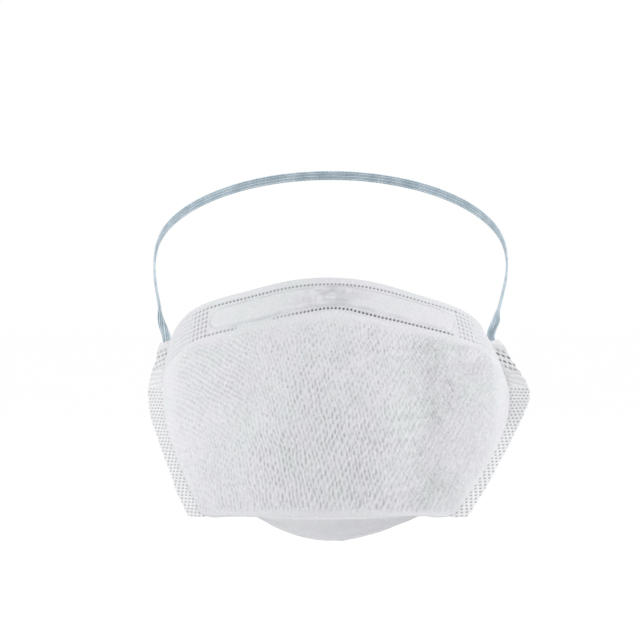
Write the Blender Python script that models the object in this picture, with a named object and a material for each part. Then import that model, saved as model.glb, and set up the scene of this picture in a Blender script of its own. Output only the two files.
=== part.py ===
"""Flat-fold pouch dust mask, opened as it is worn.

Metres, +Z up. The pouch points along -Y and the wearer's face comes in from +Y.
The origin is the middle of the face opening.

Two panels, an upper and a lower one, meet along the bill fold at the front and along a side
weld at each side. Each panel is three layers: outer cover, filter and inner lining. The free
rims carry a nose hem, with a bendable wire in its middle, and a chin hem. Two flat elastic
headbands are welded to the side strips at the cheek corners.
"""

from functools import lru_cache
from math import cos, pi, radians, sin

import bpy
import numpy as np
from mathutils import Vector

MM = 0.001
GAP = 0.3 * MM

# Every outline below is that of the inside surface: the layers lie on it, one over another.

# Bill fold: a shallow bow across the front.
BILL_HALF_WIDTH = 50 * MM
BILL_Y = -62.7 * MM
BILL_Z = -39.6 * MM
BILL_BOW = 16 * MM
BILL_SHIFT = -1.8 * MM

# Both rims swing about this line when the mask folds flat.
FOLD_AXIS = Vector((0, BILL_Y + BILL_BOW / 2, BILL_Z))

# Side seams, from the bill corner to the cheek corner. The mask sits a little to the right.
SEAM_HALF_WIDTH = {"left": 70 * MM, "right": 73 * MM}
SEAM_WIDEST_Y = 10 * MM
SEAM_WIDEST_Z = 10 * MM
CHEEKS = {"left": Vector((-67.5, 37.5, 30.2)) * MM, "right": Vector((64.5, 37.5, 28.6)) * MM}

# Rims in mm, from the middle to the cheek corner.
NOSE_RIM = [(0, -13.2, 55.8), (17, -10.6, 54.2), (33, -2.7, 50.0), (49, 10, 45.3), (59.2, 21, 40.1)]
NOSE_TILT = 0.022
CHIN_RIM = [(0, 15, -52.9), (34, 19, -40.6), (52, 26, -19), (62, 33, 5)]
NOSE_CROWN = 9 * MM
CHIN_CROWN = 4 * MM
CROWN_SCALE = 5.1
CROWN_FALL = 1.4

# Layers, as heights over the inside surface.
LIFT = 0.2 * MM
LAYERS = {
    "inner_lining": (0.0 * MM, 0.5 * MM),
    "filter": (0.8 * MM, 1.4 * MM),
    "outer_cover": (1.7 * MM, 2.2 * MM),
}
STACK = 2.2 * MM
EDGE_CLEARANCE = 0.25 * MM
MITRE_WIDTH = 10 * MM
LEAST_RISE = 0.3
PANEL_COLUMNS = 24
PANEL_ROWS = 11

# Hems.
NOSE_HEM_HEIGHT = 21 * MM
CHIN_HEM_HEIGHT = 9 * MM
HEM_DEPTH = 2.3 * MM
NOSE_HEM_HALF_SPAN = 53 * MM
CHIN_HEM_HALF_SPAN = 33 * MM
SPAN_ALONG = 0.97
HEM_ROWS = 3
HEM_END_STEPS = 8
CHIN_HEM_STEPS = 16
NOSE_HEM_STEPS = 24
WIRE_HALF_SPAN = 51 * MM
WIRE_WIDTH = 5.0 * MM
WIRE_THICKNESS = 0.8 * MM
WIRE_FROM_RIM = 12 * MM

# Side weld strips: place along the seam, with the width in mm from the seam or the fold-back
# in degrees. The strips run a little past the bill and are cut level with it.
WELD_THICKNESS = 1.4 * MM
WELD_WIDTHS = {
    "left": [(0, 8.9), (0.15, 9.1), (0.25, 8.4), (0.4, 8.4), (0.5, 9.35), (0.62, 10.65)]
    + [(0.68, 11.0), (0.75, 10.45), (0.8, 9.3), (0.85, 8.4), (0.9, 7.7), (1, 7.1)],
    "right": [(0, 7.65), (0.1, 7.55), (0.2, 7.2), (0.3, 6.8), (0.45, 7.1), (0.5, 7.6)]
    + [(0.54, 8.35), (0.62, 10.6), (0.66, 11.5), (0.7, 12.0), (0.76, 10.7), (0.81, 9.4)]
    + [(0.86, 9.0), (0.95, 9.2), (1, 8.4)],
}
WELD_TURNS = {
    "left": [(0, 50), (0.3, 48), (0.55, 48), (1, 20)],
    "right": [(0, 40), (0.38, 42), (0.54, 14), (1, 0)],
}
WELD_START = -0.03
WELD_SQUARE_CUT = 0.15
WELD_STEPS = 30
WELD_COLUMNS = 2
WELD_ROOT_SHARE = 0.55

# Headbands and their welded ends.
BAND_WIDTH = 4.6 * MM
BAND_THICKNESS = 0.9 * MM
PAD_LENGTH = 9 * MM
PAD_WIDTH = 4.4 * MM
PAD_THICKNESS = 0.8 * MM
PAD_PLACES = {"upper": 0.955, "lower": 0.83}
PAD_FROM_SEAM = 2.9 * MM
PAD_STEPS = 4
SEAM_LENGTH = 116 * MM
BAND_CLEARANCE = 2.5 * MM
BAND_DROPS = {"upper": 0.0, "lower": 1.8 * MM}
BAND_STRAIGHT = 5 * MM
BAND_STATIONS = 64
BAND_ARC_STEPS = 12
TWIST_SHARE = 0.10

# Where each band is widest at the side of the head, and its middle at the back, in mm.
BAND_SIDES = {"upper": (79.4, 112, 69), "lower": (61, 98, -14)}
BAND_BACKS = {"upper": (178, 107), "lower": (150, -32)}
HEAD_UP = (0.0, -0.5, 0.87)

COLOURS = {
    "cover": (0.80, 0.80, 0.84),
    "filter": (0.90, 0.90, 0.92),
    "lining": (0.86, 0.86, 0.88),
    "weld": (0.78, 0.79, 0.83),
    "elastic": (0.62, 0.76, 0.86),
    "wire": (0.72, 0.73, 0.75),
}


# ---------------------------------------------------------------- scene and mesh helpers


def clear_scene():
    for obj in list(bpy.data.objects):
        bpy.data.objects.remove(obj, do_unlink=True)


def material(name, colour, roughness, metallic=0.0):
    made = bpy.data.materials.new(name)
    made.use_nodes = True
    shader = made.node_tree.nodes["Principled BSDF"]
    shader.inputs["Base Color"].default_value = (*colour, 1.0)
    shader.inputs["Roughness"].default_value = roughness
    shader.inputs["Metallic"].default_value = metallic
    return made


def mesh_object(name, points, faces, finish, origin=(0, 0, 0)):
    """An object whose origin is at a chosen point, with its mesh where the points say."""
    origin = Vector(origin)
    mesh = bpy.data.meshes.new(name)
    mesh.from_pydata([tuple(Vector(point) - origin) for point in points], [], faces)
    mesh.update()
    mesh.materials.append(finish)
    mesh.shade_smooth()
    mesh.set_sharp_from_angle(angle=radians(35))
    obj = bpy.data.objects.new(name, mesh)
    obj.location = origin
    bpy.context.scene.collection.objects.link(obj)
    return obj


def turned_out(points, faces):
    """The faces, all reversed if the closed mesh would otherwise be inside out."""
    volume = 0.0
    for face in faces:
        first = Vector(points[face[0]])
        for second, third in zip(face[1:-1], face[2:]):
            volume += first.dot(Vector(points[second]).cross(Vector(points[third])))
    return faces if volume > 0 else [face[::-1] for face in faces]


def split(quad):
    """The two triangles of a quad, always along the same diagonal, so that layers stay parallel."""
    return [[quad[0], quad[1], quad[2]], [quad[0], quad[2], quad[3]]]


def slab(name, outer, inner, finish, origin=(0, 0, 0)):
    """A closed sheet between two grids of points that have the same rows and columns."""
    rows = len(outer)
    columns = len(outer[0])
    points = [point for row in outer for point in row] + [point for row in inner for point in row]
    back = rows * columns
    faces = []
    for row in range(rows - 1):
        for column in range(columns - 1):
            near = row * columns + column
            for triangle in split([near, near + 1, near + 1 + columns, near + columns]):
                faces.append(triangle)
                faces.append([back + index for index in reversed(triangle)])
    border = list(range(columns))
    border += [row * columns + columns - 1 for row in range(1, rows)]
    border += [(rows - 1) * columns + column for column in reversed(range(columns - 1))]
    border += [row * columns for row in reversed(range(1, rows - 1))]
    for index, here in enumerate(border):
        after = border[(index + 1) % len(border)]
        faces.append([after, here, back + here, back + after])
    return mesh_object(name, points, turned_out(points, faces), finish, origin)


def sweep(name, stations, finish, origin=(0, 0, 0)):
    """A closed bar through a list of cross-sections, each a ring of the same number of points."""
    around = len(stations[0])
    points = [point for ring in stations for point in ring]
    faces = [list(range(around)), list(reversed(range(len(points) - around, len(points))))]
    for start in range(0, len(points) - around, around):
        for index in range(around):
            after = (index + 1) % around
            faces.append([start + after, start + index, start + around + index, start + around + after])
    return mesh_object(name, points, turned_out(points, faces), finish, origin)


def sleeve(name, outer_stations, inner_stations, finish, origin):
    """A bar with a channel from end to end, so that it is a tube of four-sided section."""
    around = len(outer_stations[0])
    count = len(outer_stations)
    points = [point for ring in outer_stations for point in ring]
    shift = len(points)
    points += [point for ring in inner_stations for point in ring]
    faces = []
    for index in range(around):
        after = (index + 1) % around
        for station in range(count - 1):
            here = station * around
            quad = [here + after, here + index, here + around + index, here + around + after]
            for triangle in split(quad):
                faces.append(triangle)
                faces.append([shift + corner for corner in reversed(triangle)])
        end = (count - 1) * around
        faces.append([index, after, shift + after, shift + index])
        faces.append([end + after, end + index, shift + end + index, shift + end + after])
    return mesh_object(name, points, turned_out(points, faces), finish, origin)


# ---------------------------------------------------------------- curves and panel surfaces


def spline(points):
    """A natural cubic through the points, as a function of 0 to 1 along them."""
    points = np.array(points, float)
    knots = np.concatenate([[0.0], np.cumsum(np.linalg.norm(np.diff(points, axis=0), axis=1))])
    knots /= knots[-1]
    steps = np.diff(knots)
    count = len(points)
    system = np.eye(count)
    right = np.zeros_like(points)
    for index in range(1, count - 1):
        before = steps[index - 1]
        after = steps[index]
        system[index, index - 1 : index + 2] = before, 2 * (before + after), after
        slope_after = (points[index + 1] - points[index]) / after
        slope_before = (points[index] - points[index - 1]) / before
        right[index] = 6 * (slope_after - slope_before)
    bend = np.linalg.solve(system, right)

    def at(where):
        index = int(np.clip(np.searchsorted(knots, where) - 1, 0, count - 2))
        step = steps[index]
        left = (knots[index + 1] - where) / step
        more = (where - knots[index]) / step
        bow = (left**3 - left) * bend[index] + (more**3 - more) * bend[index + 1]
        return left * points[index] + more * points[index + 1] + bow * step**2 / 6

    return at


def seam(side):
    """The side seam as a curve from the bill corner, 0, to the cheek corner, 1."""
    sign = {"left": -1, "right": 1}[side]
    middle = (sign * SEAM_HALF_WIDTH[side], SEAM_WIDEST_Y, SEAM_WIDEST_Z)
    low = (sign * BILL_HALF_WIDTH + BILL_SHIFT, BILL_Y + BILL_BOW, BILL_Z)
    return spline([low, middle, tuple(CHEEKS[side])])


def bill(across):
    """The bill fold, from -1 at the left corner to 1 at the right corner."""
    return np.array((BILL_HALF_WIDTH * across + BILL_SHIFT, BILL_Y + BILL_BOW * across**2, BILL_Z))


def rim(half, tilt):
    """A rim from -1 at the left cheek to 1 at the right cheek, a little higher on the left."""
    half = [Vector(point) * MM for point in half]
    left = [(-x, y, z + tilt * x) for x, y, z in reversed(half[1:])]
    right = [(x, y, z - tilt * x) for x, y, z in half]
    curve = spline([tuple(CHEEKS["left"]), *left, *right, tuple(CHEEKS["right"])])
    return lambda across: curve((across + 1) / 2)


SEAMS = {side: seam(side) for side in ("left", "right")}
RIMS = {"upper": rim(NOSE_RIM, NOSE_TILT), "lower": rim(CHIN_RIM, 0.0)}
CROWNS = {"upper": NOSE_CROWN, "lower": CHIN_CROWN}
HEM_HEIGHTS = {"upper": NOSE_HEM_HEIGHT, "lower": CHIN_HEM_HEIGHT}
OUTWARD = {"upper": 1, "lower": -1}


def patch(half, across, along):
    """The plain Coons patch between bill, rim and the two seams."""
    share = (across + 1) / 2
    corners = [SEAMS["left"](0.0), SEAMS["right"](0.0), SEAMS["left"](1.0), SEAMS["right"](1.0)]
    ends = (1 - along) * bill(across) + along * RIMS[half](across)
    sides = (1 - share) * SEAMS["left"](along) + share * SEAMS["right"](along)
    low = (1 - share) * corners[0] + share * corners[1]
    high = (1 - share) * corners[2] + share * corners[3]
    return ends + sides - (1 - along) * low - along * high


def outward_normal(shape, half, across, along, step):
    """The unit normal of a surface that is given as a function of half, across and along."""
    wide = shape(half, across + step, along) - shape(half, across - step, along)
    tall = shape(half, across, along + step) - shape(half, across, along - step)
    normal = np.cross(wide, tall)
    return OUTWARD[half] * normal / np.linalg.norm(normal)


def crown(half, across, along):
    """How far the panel is blown out: none at its edges, most a little above the bill."""
    share = (1 - across**2) * CROWN_SCALE * along * max(0.0, 1 - along) ** CROWN_FALL
    return CROWNS[half] * share


@lru_cache(maxsize=None)
def surface(half, across, along):
    """The inside of the panel: the patch, blown out a little where nothing holds it."""
    inside = min(max(along, 0.01), 0.99)
    blown = crown(half, across, along) * outward_normal(patch, half, across, inside, 0.01)
    return patch(half, across, along) + blown


@lru_cache(maxsize=None)
def bill_lean(across):
    """The direction that halves the angle between the two panels, out of the bill fold."""
    lean = np.zeros(3)
    for half in ("upper", "lower"):
        step = surface(half, across, 0.01) - bill(across)
        lean -= step / np.linalg.norm(step)
    return lean / np.linalg.norm(lean)


@lru_cache(maxsize=None)
def stacked(half, across, along, height):
    """A point of the panel at a height over its inside surface.

    The layers rise straight out of the surface. Near the bill and the seams they lean over
    to the mitre, so that upper and lower layers meet edge to edge.
    """
    here = surface(half, across, along)
    straight = outward_normal(surface, half, across, along, 0.004)
    side = "right" if across > 0 else "left"
    bill_share = max(0.0, 1 - np.linalg.norm(here - bill(across)) / MITRE_WIDTH)
    seam_share = max(0.0, 1 - np.linalg.norm(here - SEAMS[side](along)) / MITRE_WIDTH)
    lean = (1 - bill_share) * straight + bill_share * bill_lean(across)
    lean = (1 - seam_share) * lean + seam_share * weld_frame(side, along)[2]
    lean /= np.linalg.norm(lean)
    lean += max(0.0, LEAST_RISE - lean.dot(straight)) * straight
    return here + LIFT * straight + height * lean / np.linalg.norm(lean)


@lru_cache(maxsize=None)
def column_length(half, across):
    points = [surface(half, across, step / 24) for step in range(25)]
    return sum(np.linalg.norm(after - before) for before, after in zip(points, points[1:]))


def hem_start(half, across):
    """How far along a column the hem begins, so that it has the same height all the way."""
    return 1 - HEM_HEIGHTS[half] / column_length(half, across)


@lru_cache(maxsize=None)
def edge_across(half, side, along):
    """The last place across the panel that keeps clear of the side weld."""
    width = np.linalg.norm(surface(half, 1.0, along) - surface(half, 0.9, along)) / 0.1
    sign = {"left": -1, "right": 1}[side]
    return sign * (1 - EDGE_CLEARANCE / width)


def across_at(half, x, along):
    """The place across at which the panel reaches a given x."""
    low, high = (0.0, 1.0) if x > 0 else (-1.0, 0.0)
    for _ in range(30):
        middle = (low + high) / 2
        if surface(half, middle, along)[0] < x:
            low = middle
        else:
            high = middle
    return (low + high) / 2


def panel_grid(half, height, across_list, along_range):
    """Rows of points at one height. along_range gives a column's start and end."""
    rows = []
    for column in across_list:
        start, end, steps = along_range(column)
        row = []
        for step in range(steps + 1):
            along = start + (end - start) * step / steps
            left = edge_across(half, "left", along)
            right = edge_across(half, "right", along)
            across = left + (right - left) * (column + 1) / 2
            row.append(stacked(half, across, along, height))
        rows.append(row)
    return rows


# ---------------------------------------------------------------- the parts


def make_layer(half, layer, finish):
    """One layer of a panel, from the bill fold to the hem."""
    low, high = LAYERS[layer]
    columns = [sin(pi / 2 * (2 * step / PANEL_COLUMNS - 1)) for step in range(PANEL_COLUMNS + 1)]

    def along_range(column):
        length = column_length(half, column)
        return EDGE_CLEARANCE / length, hem_start(half, column) - GAP / length, PANEL_ROWS

    outer = panel_grid(half, high, columns, along_range)
    inner = panel_grid(half, low, columns, along_range)
    return slab(f"{half}_{layer}", outer, inner, finish)


def hem_columns(low, high, count):
    return [low + (high - low) * step / count for step in range(count + 1)]


def make_hem(name, half, low, high, count, finish, origin=(0, 0, 0)):
    """A plain stretch of hem, as thick as the three layers together."""

    def along_range(column):
        return hem_start(half, column), 1.0, HEM_ROWS

    columns = hem_columns(low, high, count)
    outer = panel_grid(half, HEM_DEPTH, columns, along_range)
    inner = panel_grid(half, 0.0, columns, along_range)
    return slab(name, outer, inner, finish, origin)


def hem_section(half, across, above, below, near, far):
    """Four corners of a section of the hem, between two distances from the rim and two heights."""
    length = column_length(half, across)
    top = 1 - above / length
    low = 1 - below / length
    corners = []
    for along, height in ((top, near), (top, far), (low, far), (low, near)):
        corners.append(stacked(half, across, along, height))
    return corners


def make_nose_hem_center(finish, low, high):
    """The middle of the nose hem: a flat sleeve, open at both ends, round the wire."""
    channel_depth = (HEM_DEPTH - WIRE_THICKNESS) / 2 - GAP
    half_channel = WIRE_WIDTH / 2 + GAP
    outer = []
    inner = []
    for across in hem_columns(low, high, NOSE_HEM_STEPS):
        outer.append(hem_section("upper", across, 0.0, NOSE_HEM_HEIGHT, 0.0, HEM_DEPTH))
        inner.append(
            hem_section(
                "upper",
                across,
                WIRE_FROM_RIM - half_channel,
                WIRE_FROM_RIM + half_channel,
                channel_depth,
                HEM_DEPTH - channel_depth,
            )
        )
    return sleeve("nose_hem_center", outer, inner, finish, FOLD_AXIS)


def make_nose_wire(finish):
    """The flat strip that is pinched over the nose."""
    along = 1 - WIRE_FROM_RIM / column_length("upper", 0.0)
    low = across_at("upper", -WIRE_HALF_SPAN, along)
    high = across_at("upper", WIRE_HALF_SPAN, along)
    near = (HEM_DEPTH - WIRE_THICKNESS) / 2
    stations = []
    for across in hem_columns(low, high, NOSE_HEM_STEPS):
        above = WIRE_FROM_RIM - WIRE_WIDTH / 2
        below = WIRE_FROM_RIM + WIRE_WIDTH / 2
        stations.append(hem_section("upper", across, above, below, near, near + WIRE_THICKNESS))
    return sweep("nose_wire", stations, finish, FOLD_AXIS)


def weld_width(side, along):
    """The width of a side strip, straight from station to station."""
    return np.interp(along, *zip(*WELD_WIDTHS[side])) * MM


def weld_turn(side, along):
    """The fold-back of a side strip, eased from station to station."""
    stations = WELD_TURNS[side]
    along = min(max(along, 0.0), 1.0)
    for before, after in zip(stations, stations[1:]):
        if along <= after[0]:
            share = (along - before[0]) / (after[0] - before[0])
            share = share * share * (3 - 2 * share)
            return radians(before[1] + (after[1] - before[1]) * share)
    raise ValueError(along)


@lru_cache(maxsize=None)
def weld_frame(side, along):
    """The seam point with its tangent, and the outward and upper-face directions of the strip."""
    step = 0.01
    sign = {"left": -1, "right": 1}[side]
    near = min(max(along, 0.0), 1.0)
    tangent = SEAMS[side](min(near + step, 1.0)) - SEAMS[side](max(near - step, 0.0))
    tangent /= np.linalg.norm(tangent)
    flat = np.array((sign, 0.0, 0.0))
    flat -= tangent * flat.dot(tangent)
    flat /= np.linalg.norm(flat)
    up = sign * np.cross(flat, tangent)
    turn = weld_turn(side, along)
    out = cos(turn) * flat - sin(turn) * up
    face = sin(turn) * flat + cos(turn) * up
    return SEAMS[side](along), tangent, out, face


def weld_point(side, along, out_distance, up_distance):
    """A point of the side strip, whose end at the bill is cut level."""
    here, tangent, out, face = weld_frame(side, along)
    cut = min(1.0, max(0.0, 1 - along / WELD_SQUARE_CUT)) ** 2
    level = -out[2] / tangent[2] * cut
    return here + (out + tangent * level) * out_distance + face * up_distance


def make_side_weld(side, finish):
    """The fused strip outside the seam, as one slab of all the layers pressed together."""
    upper = []
    lower = []
    start = STACK + LIFT + GAP
    for step in range(WELD_STEPS + 1):
        along = WELD_START + (1 - WELD_START) * step / WELD_STEPS
        width = weld_width(side, along)
        top_row = []
        low_row = []
        for index in range(WELD_COLUMNS + 1):
            distance = start + (width - start) * index / WELD_COLUMNS
            thickness = WELD_THICKNESS * (WELD_ROOT_SHARE if index == 0 else 1.0)
            top_row.append(weld_point(side, along, distance, thickness / 2))
            low_row.append(weld_point(side, along, distance, -thickness / 2))
        upper.append(top_row)
        lower.append(low_row)
    return slab(f"{side}_side_weld", upper, lower, finish)


def make_pad(band, side, finish):
    """A headband's welded end, lying on the back of the side strip."""
    half_share = PAD_LENGTH / 2 / SEAM_LENGTH
    near = -WELD_THICKNESS / 2 - GAP
    grids = []
    for up_distance in (near, near - PAD_THICKNESS):
        rows = []
        for step in range(PAD_STEPS + 1):
            along = PAD_PLACES[band] + half_share * (2 * step / PAD_STEPS - 1)
            distances = (PAD_FROM_SEAM, PAD_FROM_SEAM + PAD_WIDTH / 2, PAD_FROM_SEAM + PAD_WIDTH)
            rows.append([weld_point(side, along, out, up_distance) for out in distances])
        grids.append(rows)
    return slab(f"{side}_{band}_band_weld", *grids, finish)


def beyond_pad(band, side):
    """The point just past the end of a pad, under the strip."""
    along = PAD_PLACES[band] + (PAD_LENGTH / 2 + BAND_CLEARANCE) / SEAM_LENGTH
    out = PAD_FROM_SEAM + PAD_WIDTH / 2
    under = WELD_THICKNESS / 2 + GAP + BAND_THICKNESS / 2 + BAND_DROPS[band]
    return weld_point(side, along, out, -under)


def band_exit(band, side):
    """Where a headband leaves its pad, with the direction it leaves in and the strip's face.

    Both ends are at one height and depth, so that the band swings about one straight line.
    """
    here = beyond_pad(band, side)
    here[1:] = (beyond_pad(band, "left")[1:] + beyond_pad(band, "right")[1:]) / 2
    sign = {"left": -1, "right": 1}[side]
    side_x, side_y, side_z = BAND_SIDES[band]
    leaving = np.array((sign * side_x, side_y, side_z)) * MM - here
    return here, leaving / np.linalg.norm(leaving), weld_frame(side, PAD_PLACES[band])[3]


def band_route(band):
    """The middle line of a headband, from the left pad round the back to the right pad."""
    side_x, side_y, side_z = (value * MM for value in BAND_SIDES[band])
    back_y, back_z = (value * MM for value in BAND_BACKS[band])
    arc = []
    for step in range(1, BAND_ARC_STEPS):
        angle = pi * step / BAND_ARC_STEPS
        reach = sin(angle)
        y = side_y + (back_y - side_y) * reach
        z = side_z + (back_z - side_z) * reach
        arc.append((-side_x * cos(angle), y, z))
    ends = []
    for side in ("left", "right"):
        here, leaving, _ = band_exit(band, side)
        ends.append((here, here + leaving * BAND_STRAIGHT))
    route = [ends[0][0], ends[0][1], (-side_x, side_y, side_z), *arc]
    route += [(side_x, side_y, side_z), ends[1][1], ends[1][0]]
    return spline([tuple(point) for point in route])


def make_headband(band, finish, axis_point):
    """A flat elastic that leaves its pad flat on the weld strip and turns to lie on the head."""
    curve = band_route(band)
    stations = []
    for step in range(BAND_STATIONS + 1):
        where = step / BAND_STATIONS
        here = curve(where)
        tangent = curve(min(where + 0.004, 1.0)) - curve(max(where - 0.004, 0.0))
        tangent /= np.linalg.norm(tangent)
        head_out = np.cross(tangent, HEAD_UP)
        side = "left" if where < 0.5 else "right"
        strip_face = band_exit(band, side)[2] * (1 if side == "right" else -1)
        share = min(1.0, min(where, 1 - where) / TWIST_SHARE)
        share = share * share * (3 - 2 * share)
        thin = share * head_out + (1 - share) * strip_face
        thin -= tangent * thin.dot(tangent)
        thin /= np.linalg.norm(thin)
        wide = np.cross(tangent, thin)
        ring = []
        for across, through in ((-1, -1), (1, -1), (1, 1), (-1, 1)):
            offset = wide * across * BAND_WIDTH / 2 + thin * through * BAND_THICKNESS / 2
            ring.append(here + offset)
        stations.append(ring)
    return sweep(f"{band}_headband", stations, finish, axis_point)


def hinge_point(band):
    """The middle of the line between the two exits, which the band swings about."""
    curve = band_route(band)
    return Vector((curve(0.0) + curve(1.0)) / 2)


def main():
    clear_scene()
    cover = material("cover", COLOURS["cover"], 0.75)
    filter_web = material("filter_web", COLOURS["filter"], 0.9)
    lining = material("lining", COLOURS["lining"], 0.8)
    weld = material("weld", COLOURS["weld"], 0.5)
    elastic = material("elastic", COLOURS["elastic"], 0.7)
    wire = material("wire", COLOURS["wire"], 0.35, 1.0)
    finishes = {"outer_cover": cover, "filter": filter_web, "inner_lining": lining}

    for half in ("upper", "lower"):
        for layer in LAYERS:
            make_layer(half, layer, finishes[layer])

    for half, centre, span in (
        ("upper", "nose", NOSE_HEM_HALF_SPAN),
        ("lower", "chin", CHIN_HEM_HALF_SPAN),
    ):
        low = across_at(half, -span, SPAN_ALONG)
        high = across_at(half, span, SPAN_ALONG)
        apart = GAP / span * high
        make_hem(f"{centre}_hem_left", half, -1.0, low - apart, HEM_END_STEPS, cover)
        make_hem(f"{centre}_hem_right", half, high + apart, 1.0, HEM_END_STEPS, cover)
        if half == "upper":
            make_nose_hem_center(cover, low, high)
        else:
            make_hem("chin_hem_center", half, low, high, CHIN_HEM_STEPS, cover, FOLD_AXIS)
    make_nose_wire(wire)

    for side in ("left", "right"):
        make_side_weld(side, weld)
        for band in ("upper", "lower"):
            make_pad(band, side, elastic)
    for band in ("upper", "lower"):
        make_headband(band, elastic, hinge_point(band))


main()
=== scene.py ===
"""Looks of a flat-fold pouch dust mask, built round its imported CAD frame.

Metres, +Z up, the pouch points along -Y. Distances named s, d, out, width, length and height
are in millimetres, as are the relief functions' results; points and surfaces are in metres.
"""

from math import cos, pi, radians, sin

import bmesh
import bpy
import numpy as np
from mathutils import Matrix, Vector


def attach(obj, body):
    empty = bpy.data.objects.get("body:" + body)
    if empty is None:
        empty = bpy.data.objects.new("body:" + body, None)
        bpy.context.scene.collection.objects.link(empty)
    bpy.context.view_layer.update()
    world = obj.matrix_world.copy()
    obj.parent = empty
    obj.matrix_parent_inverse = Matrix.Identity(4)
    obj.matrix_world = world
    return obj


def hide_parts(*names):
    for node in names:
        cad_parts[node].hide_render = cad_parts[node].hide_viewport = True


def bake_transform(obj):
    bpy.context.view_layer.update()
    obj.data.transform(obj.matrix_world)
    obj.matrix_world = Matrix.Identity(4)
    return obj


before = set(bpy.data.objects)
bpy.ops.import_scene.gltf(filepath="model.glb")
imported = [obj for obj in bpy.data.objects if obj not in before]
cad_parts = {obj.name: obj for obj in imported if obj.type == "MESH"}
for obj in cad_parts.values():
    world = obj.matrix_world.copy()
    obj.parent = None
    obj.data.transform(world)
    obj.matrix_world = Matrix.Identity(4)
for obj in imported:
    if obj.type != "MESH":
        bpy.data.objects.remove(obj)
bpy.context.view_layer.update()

MM = 0.001

# ---- the CAD model's dimensions

BILL_HALF_WIDTH = 50 * MM
BILL_Y = -62.7 * MM
BILL_Z = -39.6 * MM
BILL_BOW = 16 * MM
BILL_SHIFT = -1.8 * MM
SEAM_HALF_WIDTH = {"left": 70 * MM, "right": 73 * MM}
SEAM_WIDEST_Y = 10 * MM
SEAM_WIDEST_Z = 10 * MM
CHEEKS = {"left": np.array((-67.5, 37.5, 30.2)) * MM, "right": np.array((64.5, 37.5, 28.6)) * MM}
NOSE_RIM = [(0, -13.2, 55.8), (17, -10.6, 54.2), (33, -2.7, 50.0), (49, 10, 45.3), (59.2, 21, 40.1)]
NOSE_TILT = 0.022
CHIN_RIM = [(0, 15, -52.9), (34, 19, -40.6), (52, 26, -19), (62, 33, 5)]
CROWNS = {"upper": 9 * MM, "lower": 4 * MM}
CROWN_SCALE = 5.1
CROWN_FALL = 1.4
LIFT = 0.2 * MM
EDGE_CLEARANCE = 0.25 * MM
MITRE_WIDTH = 10 * MM
LEAST_RISE = 0.3
LAYERS = {"lining": (0.0, 0.5), "filter": (0.8, 1.4), "cover": (1.7, 2.2)}
HEM_HEIGHTS = {"upper": 21.0, "lower": 9.0}
HEM_DEPTH = 2.3
WELD_THICKNESS = 1.4
WELD_WIDTHS = {
    "left": [(0, 8.9), (0.15, 9.1), (0.25, 8.4), (0.4, 8.4), (0.5, 9.35), (0.62, 10.65)]
    + [(0.68, 11.0), (0.75, 10.45), (0.8, 9.3), (0.85, 8.4), (0.9, 7.7), (1, 7.1)],
    "right": [(0, 7.65), (0.1, 7.55), (0.2, 7.2), (0.3, 6.8), (0.45, 7.1), (0.5, 7.6)]
    + [(0.54, 8.35), (0.62, 10.6), (0.66, 11.5), (0.7, 12.0), (0.76, 10.7), (0.81, 9.4)]
    + [(0.86, 9.0), (0.95, 9.2), (1, 8.4)],
}
WELD_TURNS = {
    "left": [(0, 50), (0.3, 48), (0.55, 48), (1, 20)],
    "right": [(0, 40), (0.38, 42), (0.54, 14), (1, 0)],
}
WELD_START = -0.03
WELD_SQUARE_CUT = 0.15
SEAM_LENGTH = 116.0
BAND_WIDTH = 4.6
BAND_THICKNESS = 0.9
PAD_LENGTH = 9.0
PAD_WIDTH = 4.4
PAD_THICKNESS = 0.8
PAD_PLACES = {"upper": 0.955, "lower": 0.83}
PAD_FROM_SEAM = 2.9
PAD_GAP = 0.3
BAND_CLEARANCE = 2.5
BAND_DROPS = {"upper": 0.0, "lower": 1.8}
BAND_SIDES = {"upper": (79.4, 112, 69), "lower": (61, 98, -14)}
BAND_BACKS = {"upper": (178, 107), "lower": (150, -32)}
TWIST_SHARE = 0.10

OUTWARD = {"upper": 1, "lower": -1}
SIGN = {"left": -1, "right": 1}

# ---- curves and panel surfaces


def unit(vectors):
    return vectors / np.linalg.norm(vectors, axis=-1, keepdims=True)


def smoothstep(low, high, value):
    share = np.clip((value - low) / (high - low), 0, 1)
    return share * share * (3 - 2 * share)


def fade(low, high, value):
    return 1 - smoothstep(low, high, value)


def travelled(points):
    """The distance gone at each point of a line."""
    return np.concatenate([[0.0], np.cumsum(np.linalg.norm(np.diff(points, axis=0), axis=1))])


def spline(points):
    """A natural cubic through the points, as a function of an array of 0 to 1 along them."""
    points = np.array(points, float)
    knots = travelled(points)
    knots /= knots[-1]
    steps = np.diff(knots)
    count = len(points)
    system = np.eye(count)
    right = np.zeros_like(points)
    for index in range(1, count - 1):
        before = steps[index - 1]
        after = steps[index]
        system[index, index - 1 : index + 2] = before, 2 * (before + after), after
        slope_after = (points[index + 1] - points[index]) / after
        slope_before = (points[index] - points[index - 1]) / before
        right[index] = 6 * (slope_after - slope_before)
    bend = np.linalg.solve(system, right)

    def at(where):
        where = np.asarray(where, float)
        index = np.clip(np.searchsorted(knots, where) - 1, 0, count - 2)
        step = steps[index][..., None]
        left = (knots[index + 1] - where)[..., None] / step
        more = (where - knots[index])[..., None] / step
        bow = (left**3 - left) * bend[index] + (more**3 - more) * bend[index + 1]
        return left * points[index] + more * points[index + 1] + bow * step**2 / 6

    return at


def seam(side):
    sign = SIGN[side]
    middle = (sign * SEAM_HALF_WIDTH[side], SEAM_WIDEST_Y, SEAM_WIDEST_Z)
    low = (sign * BILL_HALF_WIDTH + BILL_SHIFT, BILL_Y + BILL_BOW, BILL_Z)
    return spline([low, middle, tuple(CHEEKS[side])])


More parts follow.
